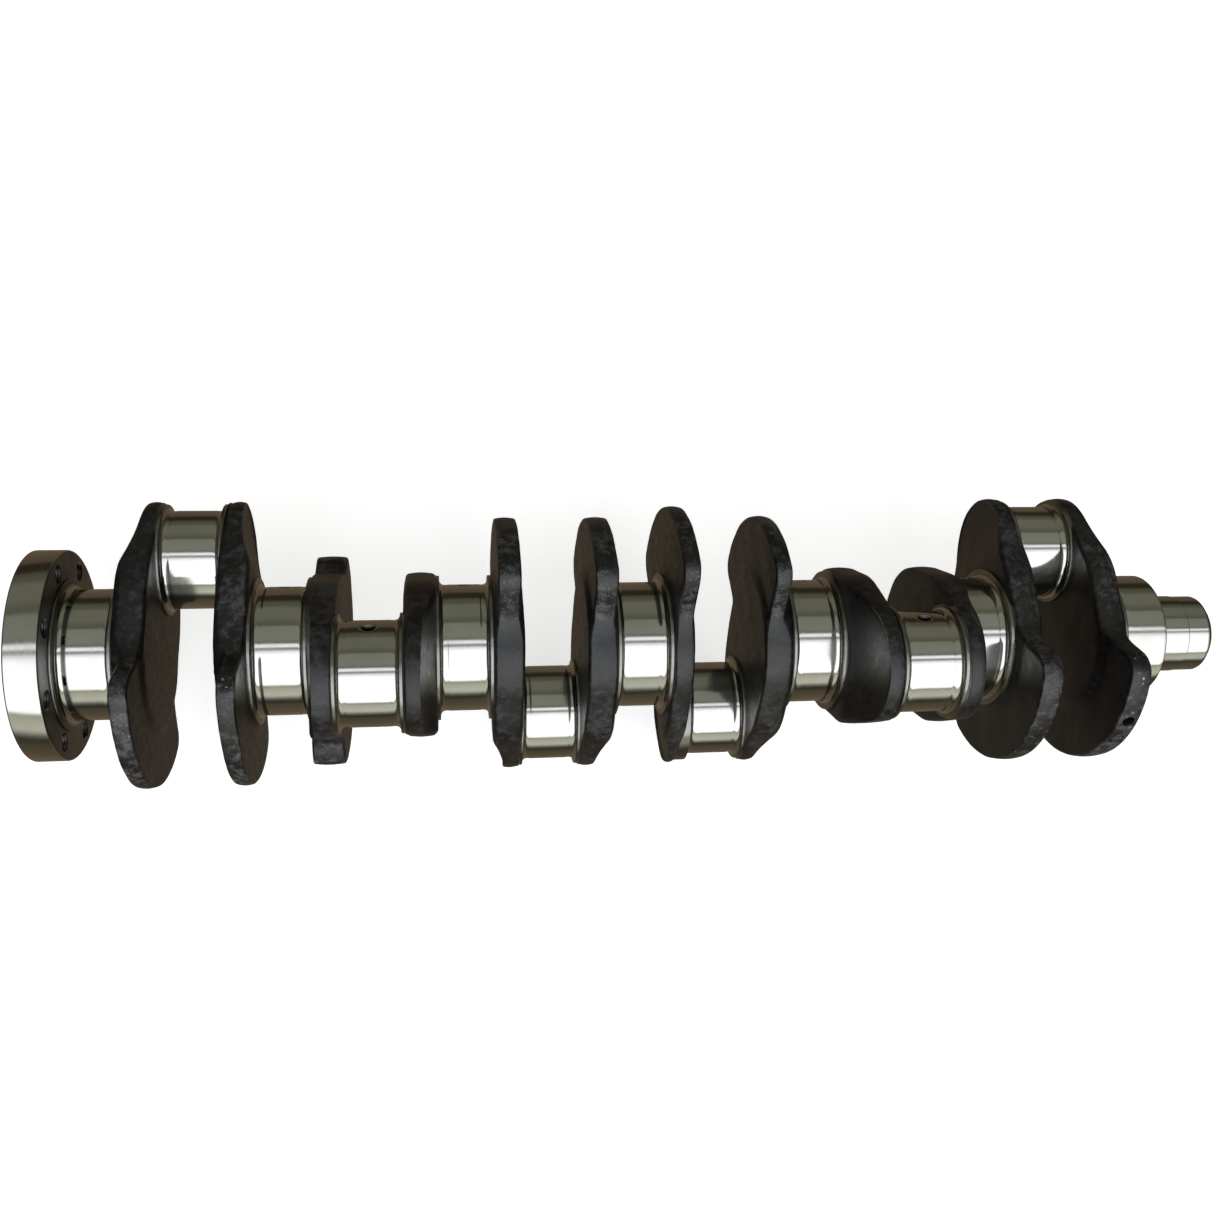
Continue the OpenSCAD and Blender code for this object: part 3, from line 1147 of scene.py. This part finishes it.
    def ground_ring(self, side: Side) -> bpy.types.Object:
        """Builds the ground shoulder where a journal meets the web.

        Args:
            side: The web's side that it is on.

        Returns:
            The ring's piece.
        """
        width = self.layout.ring_width
        if side is Side.MAIN:
            r = self.layout.journal_radius(self.main_node) + width + self.layout.fillet / 2
            centre, face, depth = (0.0, 0.0), self.start, self.layout.collar
            inwards = self.way
        else:
            r = self.layout.journal_radius(self.pin_node) + width
            centre, depth = self.layout.centre(self.pin_node), self.pin_collar
            face, inwards = self.start + self.way * self.thick, -self.way
        deep = face + inwards * (depth + 1.6)
        profile = round_edge(face, r, 0.45, inwards, 3) + [(deep - inwards * 1.4, r), (deep, r + 1.2)]
        skin = lathe_skin(profile, centre, 144)
        return skin.to_object(f"web_{self.number}_{side.name.lower()}_shoulder")


@dataclass
class Webs:
    """The twelve webs, nine of them with a counterweight."""

    layout: Layout
    finishes: Finishes
    full_weights: tuple[int, ...] = (1, 2, 7, 8, 10)
    slim_weights: tuple[int, ...] = (5, 6, 11, 12)
    outer_slim_weights: tuple[int, ...] = (5, 12)
    wide_web: int = 10
    tall_web: int = 6
    weight_reach: float = 101.0
    tall_reach: float = 109.0
    weight_thick: float = 17.0
    slim_thick: float = 13.0
    turns_deg: tuple[float, ...] = (0.0, -31.0, -37.0, -37.0, -31.0, 0.0)
    half_deg: float = 58.0
    wide_half_deg: float = 85.0
    end_half_deg: float = 64.0
    wide_reach: float = 88.0
    # webs whose rims get more wear and painted sheen
    worn_and_sheen_webs: tuple[int, ...] = (1, 2, 11)
    drilled_web: int = 1
    balance_deg: float = 149.0
    balance_radius: float = 4.2
    balance_depth: float = 9.0

    def weight_span(self, number: int, thick: float) -> tuple[float, float]:
        """Where a web's counterweight lies in its thickness.

        Args:
            number: The web's number.
            thick: The web's thickness.

        Returns:
            Its lower and upper height above the main side.
        """
        collar = self.layout.collar
        if number == self.wide_web:
            return 0.75 * collar, thick - 0.75 * collar
        if number in self.outer_slim_weights:
            return thick - 2 * collar - self.slim_thick, thick - 2 * collar
        if number in self.slim_weights:
            return 2 * collar, 2 * collar + self.slim_thick
        return (thick - self.weight_thick) / 2, (thick + self.weight_thick) / 2

    def web(self, number: int) -> ForgedWeb:
        """Gives one web its own sizes.

        Args:
            number: The web's number.

        Returns:
            The web.
        """
        pin = (number + 1) // 2
        throw, turn = self.layout.throw(pin)
        low, high = self.layout.span(f"web_{number}")
        reach = 0.0
        if number in self.full_weights + self.slim_weights:
            reach = {self.tall_web: self.tall_reach, self.wide_web: self.wide_reach}.get(
                number, self.weight_reach)
        half = self.end_half_deg if pin in (1, PINS) else self.half_deg
        weight_low, weight_high = self.weight_span(number, high - low)
        return ForgedWeb(
            number, self.layout, throw, turn,
            weight_reach=reach,
            weight_half=math.radians(self.wide_half_deg if number == self.wide_web else half),
            weight_turn=math.radians(self.turns_deg[pin - 1]),
            weight_low=weight_low, weight_high=weight_high,
            pin_collar=9.0 if number == self.tall_web else self.layout.collar,
            wear_and_sheen=1.5 if number in self.worn_and_sheen_webs else 1.0,
        )

    def balance_drill(self, web: ForgedWeb) -> bpy.types.Object:
        """Builds the solid that drills a web's rim for balance.

        Args:
            web: The web to drill.

        Returns:
            The cutter, pointing at the crank axis.
        """
        r, rim = self.balance_radius, web.weight_reach
        bottom, wide = rim - self.balance_depth, r + 0.9
        profile = [(bottom - 1.6, 0.3), (bottom, r), (rim - 1.9, r), (rim, wide), (rim + 4.0, wide)]
        drill = lathe_skin(profile, segments=40).to_object("balance_cutter")
        middle = web.start + web.way * (web.weight_low + web.weight_high) / 2
        turn = Matrix.Rotation(math.radians(self.balance_deg), 4, "X")
        turn = turn @ Matrix.Rotation(math.pi / 2, 4, "Z")
        drill.matrix_world = Matrix.Translation((middle * MM, 0.0, 0.0)) @ turn
        return drill

    def build(self) -> None:
        """Builds, dresses and places every web with its two ground shoulders."""
        for number in range(1, 2 * PINS + 1):
            web = self.web(number)
            forging = web.build()
            if number == self.drilled_web:
                forging = cut(forging, [self.balance_drill(web)], SHARP_FORGING_DEG)
            place(dress(forging, self.finishes.forged), Slot.FORGED, f"web_{number}")
            for side in Side:
                # the shoulder rings get the darker steel: painted shade where journal meets web
                ring = dress(web.ground_ring(side), self.finishes.shoulder)
                place(ring, Slot.GROUND, f"web_{number}")


@dataclass
class BoltHoles:
    """A circle of threaded holes that run along X."""

    count: int
    ring_radius: float
    radius: float
    start_deg: float = 0.0
    pitch: float = 1.75
    thread: float = 0.45
    lead_in: float = 0.9

    def cutter(self, low: float, high: float, angle_deg: float) -> bpy.types.Object:
        """Solid that cuts one hole, threaded and eased at both ends.

        Args:
            low: X of its lower end.
            high: X of its upper end.
            angle_deg: The hole's place on the circle, from +Y towards +Z.

        Returns:
            The cutter.
        """
        a = math.radians(angle_deg)
        centre = (self.ring_radius * math.cos(a), self.ring_radius * math.sin(a))
        wide = self.radius + self.lead_in
        turns = max(int((high - low - 2 * self.lead_in) / self.pitch), 1)
        step = (high - low - 2 * self.lead_in) / turns
        profile = [(low - 1.0, wide), (low, wide), (low + self.lead_in, self.radius)]
        for n in range(turns):
            x = low + self.lead_in + n * step
            profile += [(x + step * 0.5, self.radius - self.thread), (x + step, self.radius)]
        profile += [(high, wide), (high + 1.0, wide)]
        return lathe_skin(profile, centre, 40).to_object("hole_cutter")

    def cutters(self, low: float, high: float) -> list[bpy.types.Object]:
        """Returns one cutter for each hole."""
        step = 360.0 / self.count
        return [self.cutter(low, high, self.start_deg + step * n) for n in range(self.count)]


@dataclass
class FlywheelEnd:
    """Flange, slinger ring and dowel at the flywheel's end."""

    layout: Layout
    finishes: Finishes
    edge: float = 1.5
    pilot_radius: float = 26.0
    pilot_depth: float = 16.0
    bolt_circle: float = 66.0
    bolt_radius: float = 6.5
    dowel_deg: float = -67.5

    def flange(self) -> bpy.types.Object:
        """Builds the flange with its pilot bore, bolt holes and dowel hole.

        Returns:
            The flange's piece.
        """
        low, high = self.layout.span("rear_flange")
        r = self.layout.radius("rear_flange")
        profile = [(low + self.pilot_depth, self.pilot_radius - 3.0),
                   (low + self.pilot_depth, self.pilot_radius - 0.6),
                   (low + self.pilot_depth - 0.6, self.pilot_radius),
                   (low + 1.2, self.pilot_radius), (low, self.pilot_radius + 1.2)]
        profile += [(low, r - 8.0), *round_edge(low, r, self.edge, 1)]
        profile += [*reversed(round_edge(high, r, self.edge, -1)), (high, r - 4.0)]
        piece = lathe_skin(profile, segments=224).to_object("rear_flange_turned")
        holes = BoltHoles(8, self.bolt_circle, self.bolt_radius).cutters(low, high)
        r_dowel = self.layout.radius("flywheel_dowel")
        dowel = BoltHoles(1, self.bolt_circle, r_dowel + 0.02, self.dowel_deg, thread=0.0, lead_in=0.5)
        holes.append(dowel.cutter(low, low + 10.2, self.dowel_deg))
        return cut(piece, holes)

    def build(self) -> None:
        """Builds, dresses and places the flange, the ring and the dowel."""
        # the flange's faces get the dark turned steel: painted shade
        flange = dress(self.flange(), self.finishes.rim, self.finishes.face)
        # painted shade inside the pilot bore and the bolt and dowel holes
        paint_bore_shade(flange, self.finishes.bore, self.layout.radius("rear_flange") - 6.0)
        place(flange, Slot.TURNED, "rear_flange")
        low, high = self.layout.span("oil_slinger")
        ring_r = self.layout.radius("oil_slinger")
        profile = [(low - 0.4, ring_r - 0.4), (low, ring_r - 0.4), (low + 0.4, ring_r)]
        profile += list(reversed(round_edge(high, ring_r, 0.8, -1)))
        ring = lathe_skin(profile, segments=176).to_object("oil_slinger_turned")
        # painted shade: darker ground steel on the ring and dark turned steel on its faces
        place(dress(ring, self.finishes.shoulder, self.finishes.face), Slot.TURNED, "oil_slinger")
        place(self.dowel(), Slot.DOWEL, "flywheel_dowel")

    def dowel(self) -> bpy.types.Object:
        """Builds the dowel that locates the flywheel.

        Returns:
            The dowel, dressed.
        """
        low, high = self.layout.span("flywheel_dowel")
        r = self.layout.radius("flywheel_dowel")
        profile = round_edge(low, r, 1.4, 1) + [(low + 3.0, r), *reversed(round_edge(high, r, 0.6, -1))]
        skin = lathe_skin(profile, self.layout.centre("flywheel_dowel"), 64)
        return dress(skin.to_object("flywheel_dowel_pin"), self.finishes.dowel)


@dataclass
class Nose:
    """Seats for the timing gear and the pulley, with the gear's dowel."""

    layout: Layout
    finishes: Finishes
    chamfer: float = 4.0
    bolt_circle: float = 20.0
    bolt_radius: float = 5.25
    centre_radius: float = 6.0
    relief: float = 0.35

    def gear_seat(self) -> bpy.types.Object:
        """Builds the timing gear's seat, with a grinding relief at the journal's face.

        Returns:
            The seat's piece.
        """
        low, high = self.layout.span("timing_gear_seat")
        r = self.layout.radius("timing_gear_seat")
        profile = [(low, r - self.relief), (low + 1.6, r - self.relief), (low + 2.2, r), (low + 6.0, r)]
        profile += [(high - 4.0, r), (high - 0.5, r), (high, r - 0.5)]
        return lathe_skin(profile, segments=176).to_object("timing_gear_seat_ground")

    def pulley_seat(self) -> bpy.types.Object:
        """Builds the pulley's seat with its tapped holes and centre hole.

        Returns:
            The seat's piece.
        """
        low, high = self.layout.span("pulley_seat")
        r = self.layout.radius("pulley_seat")
        bevel = self.chamfer
        profile = [(low, r - 0.5), (low + 0.5, r), (low + 3.0, r), (high - bevel - 2.0, r),
                   (high - bevel, r), (high - bevel * 0.8, r - 0.35), (high - 0.4, r - bevel + 0.35),
                   (high, r - bevel), (high, r - bevel - 2.0)]
        piece = lathe_skin(profile, segments=176).to_object("pulley_seat_ground")
        tapped = BoltHoles(4, self.bolt_circle, self.bolt_radius, 45.0, pitch=1.5)
        holes = tapped.cutters(low - 2.0, high)
        rim = self.centre_radius
        centre = [(high - 14.0, 1.6), (high - 8.0, 2.4), (high - 7.6, 2.4), (high - 1.2, rim - 0.6),
                  (high, rim + 0.4), (high + 1.0, rim + 0.4)]
        holes.append(lathe_skin(centre, segments=48).to_object("centre_cutter"))
        return cut(piece, holes)

    def build(self) -> None:
        """Builds, dresses and places the two seats and the dowel."""
        place(dress(self.gear_seat(), self.finishes.nose), Slot.NOSE, "timing_gear_seat")
        # the seat's end faces get the dark turned steel: painted shade
        seat = dress(self.pulley_seat(), self.finishes.nose, self.finishes.face)
        # painted shade inside the tapped holes and the centre hole
        paint_bore_shade(seat, self.finishes.bore, self.layout.radius("pulley_seat") - self.chamfer - 1.0)
        place(seat, Slot.NOSE, "pulley_seat")
        low, high = self.layout.span("timing_gear_dowel")
        r = self.layout.radius("timing_gear_dowel")
        profile = [*round_edge(low, r, 0.4, 1), (high - 2.0, r), *reversed(round_edge(high, r, 0.8, -1))]
        skin = lathe_skin(profile, self.layout.centre("timing_gear_dowel"), 48)
        dowel = dress(skin.to_object("timing_gear_dowel_pin"), self.finishes.dowel)
        place(dowel, Slot.DOWEL, "timing_gear_dowel")


# ---------------------------------------------------------------- studio


@dataclass
class Studio:
    """Pale floor, soft light and the camera."""

    lean_deg: float = 104.2
    eye: Point = (299.9, -40.43, 940.84)
    yaw: float = 0.1344
    pitch: float = -0.0737
    roll: float = 0.0257
    lens: float = 35.585
    strength: float = 1.9
    pale: float = 0.80
    glow: float = 0.70
    wall_glow: float = 0.92
    middle: float = 0.45
    floor_radius: float = 3.2
    dark_end: Colour = (0.034, 0.027, 0.021)
    dark_from: float = 0.60
    dark_to: float = 0.80

    def axes(self) -> Matrix:
        """Finds the directions that the camera and the light are set out by.

        Returns:
            Columns along the crank, up in the view, and towards the camera.
        """
        a = math.radians(self.lean_deg)
        up, back = (0.0, math.sin(a), -math.cos(a)), (0.0, math.cos(a), math.sin(a))
        return Matrix(((1.0, 0.0, 0.0), up, back)).transposed()

    def camera(self) -> bpy.types.Object:
        """Makes the camera, aims it and makes it the scene's own.

        Returns:
            The camera.
        """
        data = bpy.data.cameras.new("camera")
        data.lens = self.lens
        data.sensor_width = 36.0
        data.clip_end = 50.0
        aim = Matrix.Rotation(self.roll, 3, "Z") @ Matrix.Rotation(self.pitch, 3, "X")
        aim = aim @ Matrix.Rotation(self.yaw, 3, "Y")
        axes = self.axes()
        turn = axes @ aim.transposed()
        spot = axes @ (Vector(self.eye) * MM)
        camera = bpy.data.objects.new("camera", data)
        camera.matrix_world = Matrix.Translation(spot) @ turn.to_4x4()
        bpy.context.scene.collection.objects.link(camera)
        bpy.context.scene.camera = camera
        return camera

    def light(self) -> None:
        """Makes the room that the steel reflects: one long softbox over the crank, dim round it."""
        world = bpy.data.worlds.new("studio")
        bpy.context.scene.world = world
        world.use_nodes = True
        tree = world.node_tree
        nodes, links = tree.nodes, tree.links
        sky = nodes["Background"]
        outwards = nodes.new("ShaderNodeTexCoord").outputs["Generated"]
        axes = self.axes()

        def along(axis: Vector) -> Socket:
            """How far a direction points along an axis."""
            node = nodes.new("ShaderNodeVectorMath")
            node.operation = "DOT_PRODUCT"
            links.new(outwards, node.inputs[0])
            node.inputs[1].default_value = axis
            return node.outputs["Value"]

        turn = nodes.new("ShaderNodeMath")
        turn.operation = "ARCTAN2"
        links.new(along(-axes.col[1]), turn.inputs[0])
        links.new(along(axes.col[2]), turn.inputs[1])
        share = nodes.new("ShaderNodeMapRange")
        links.new(turn.outputs[0], share.inputs["Value"])
        share.inputs["From Min"].default_value = -math.pi
        share.inputs["From Max"].default_value = math.pi
        ramp = nodes.new("ShaderNodeValToRGB")
        links.new(share.outputs["Result"], ramp.inputs["Fac"])
        self.paint(ramp.color_ramp)
        fade = nodes.new("ShaderNodeMapRange")
        ends = nodes.new("ShaderNodeMath")
        ends.operation = "ABSOLUTE"
        links.new(along(axes.col[0]), ends.inputs[0])
        links.new(ends.outputs[0], fade.inputs["Value"])
        fade.inputs["From Min"].default_value = self.dark_from
        fade.inputs["From Max"].default_value = self.dark_to
        mix = nodes.new("ShaderNodeMix")
        mix.data_type = "RGBA"
        links.new(fade.outputs["Result"], mix.inputs["Factor"])
        links.new(ramp.outputs["Color"], mix.inputs[6])
        mix.inputs[7].default_value = (*self.dark_end, 1.0)
        links.new(mix.outputs[2], sky.inputs["Color"])
        sky.inputs["Strength"].default_value = self.strength

    def paint(self, ramp: bpy.types.ColorRamp) -> None:
        """Colours the room by direction round the crank, in degrees from the camera downwards.

        Args:
            ramp: The ramp to fill, from -180 to 180 degrees.
        """
        brown, dusk, olive = (0.073, 0.054, 0.035), (0.017, 0.014, 0.008), (0.092, 0.095, 0.071)
        stops = [
            (-180, (0.095, 0.076, 0.054)), (-150, brown), (-118, (0.057, 0.044, 0.030)), (-113, dusk),
            (-99, dusk), (-96, (0.049, 0.047, 0.032)), (-84, (0.063, 0.063, 0.044)), (-80, olive),
            (-58, olive), (-44, (0.057, 0.060, 0.041)), (-41, (0.136, 0.139, 0.114)),
            (-17, (0.142, 0.145, 0.126)), (-11, (0.060, 0.062, 0.052)), (-8.5, (0.70, 0.71, 0.72)),
            (-4.5, (0.80, 0.81, 0.82)), (-3, (0.12, 0.12, 0.12)), (0.5, (0.18, 0.18, 0.19)),
            (3, (0.62, 0.64, 0.67)), (9, (0.88, 0.90, 0.94)), (61, (1.0, 1.0, 0.995)),
            (65, (0.96, 0.96, 0.94)), (66.5, (0.11, 0.11, 0.095)), (72, (0.30, 0.308, 0.237)),
            (88, (0.38, 0.387, 0.33)), (96, (0.087, 0.087, 0.071)), (103, dusk),
            (112, (0.047, 0.041, 0.027)), (140, brown), (180, (0.095, 0.076, 0.054)),
        ]
        while len(ramp.elements) > 1:
            ramp.elements.remove(ramp.elements[0])
        for n, (angle, colour) in enumerate(stops):
            spot = (angle + 180.0) / 360.0
            element = ramp.elements[0] if n == 0 else ramp.elements.new(spot)
            element.position = spot
            element.color = (*colour, 1.0)

    def floor(self, height: float) -> None:
        """Lays the pale floor and the pale wall far round it.

        Args:
            height: Z of the floor, in metres.
        """
        board = Board("pale_floor")
        board.wire(board.mix(board.noise(3.0, 2.0), (self.pale,) * 3, (self.pale * 0.99,) * 3),
                   board.main.inputs["Base Color"])
        board.main.inputs["Emission Color"].default_value = (self.glow, self.glow, self.glow, 1.0)
        board.set(Roughness=0.9, Specular_IOR_Level=0.1, Emission_Strength=1.0)
        edge = self.floor_radius
        ground = self.stage_piece("floor", [(0.0, 0.001), (0.0, edge)], height, board.material)
        ground.visible_glossy = False
        glow = Board("pale_wall")
        glow.main.inputs["Base Color"].default_value = (0.0, 0.0, 0.0, 1.0)
        glow.main.inputs["Emission Color"].default_value = (*(self.wall_glow,) * 3, 1.0)
        glow.set(Specular_IOR_Level=0.0, Emission_Strength=1.0)
        cove = [(-0.01, edge), (0.3, edge + 0.5), (1.0, edge + 0.8), (7.0, edge + 1.0)]
        wall = self.stage_piece("wall", cove, height, glow.material)
        wall.visible_glossy = wall.visible_diffuse = False
        wall.visible_shadow = wall.visible_transmission = False

    def stage_piece(self, name: str, profile: Profile, height: float,
                    finish: bpy.types.Material) -> bpy.types.Object:
        """Surface turned about a vertical axis through the crank's middle.

        Args:
            name: The object's name.
            profile: Height above the floor and radius of each ring, in metres.
            height: Z of the floor.
            finish: Its material.

        Returns:
            The staged object.
        """
        angles = np.linspace(0, 2 * math.pi, 96, endpoint=False)
        mesh = bpy.data.meshes.new(name)
        points = [(self.middle + r * math.cos(a), r * math.sin(a), height + z)
                  for z, r in profile for a in angles]
        n = len(angles)
        faces = [(row * n + i, row * n + (i + 1) % n, (row + 1) * n + (i + 1) % n, (row + 1) * n + i)
                 for row in range(len(profile) - 1) for i in range(n)]
        mesh.from_pydata(points, [], faces)
        mesh.polygons.foreach_set("use_smooth", [True] * len(faces))
        mesh.materials.append(finish)
        piece = bpy.data.objects.new(name, mesh)
        bpy.context.scene.collection.objects.link(piece)
        piece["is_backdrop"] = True
        return piece

    def build(self) -> None:
        """Sets up camera, light and floor round the finished crank."""
        self.camera()
        self.light()
        self.floor(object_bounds()[0].z)
        bpy.context.scene.view_settings.view_transform = "Standard"


def main() -> None:
    """Builds the crankshaft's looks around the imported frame."""
    logging.basicConfig(level=logging.INFO, format="%(name)s: %(message)s")
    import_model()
    layout = Layout()
    finishes = Finishes()
    for part in (Webs(layout, finishes), Journals(layout, finishes), FlywheelEnd(layout, finishes),
                 Nose(layout, finishes)):
        part.build()
    Studio().build()
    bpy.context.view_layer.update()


if __name__ == "__main__":
    main()
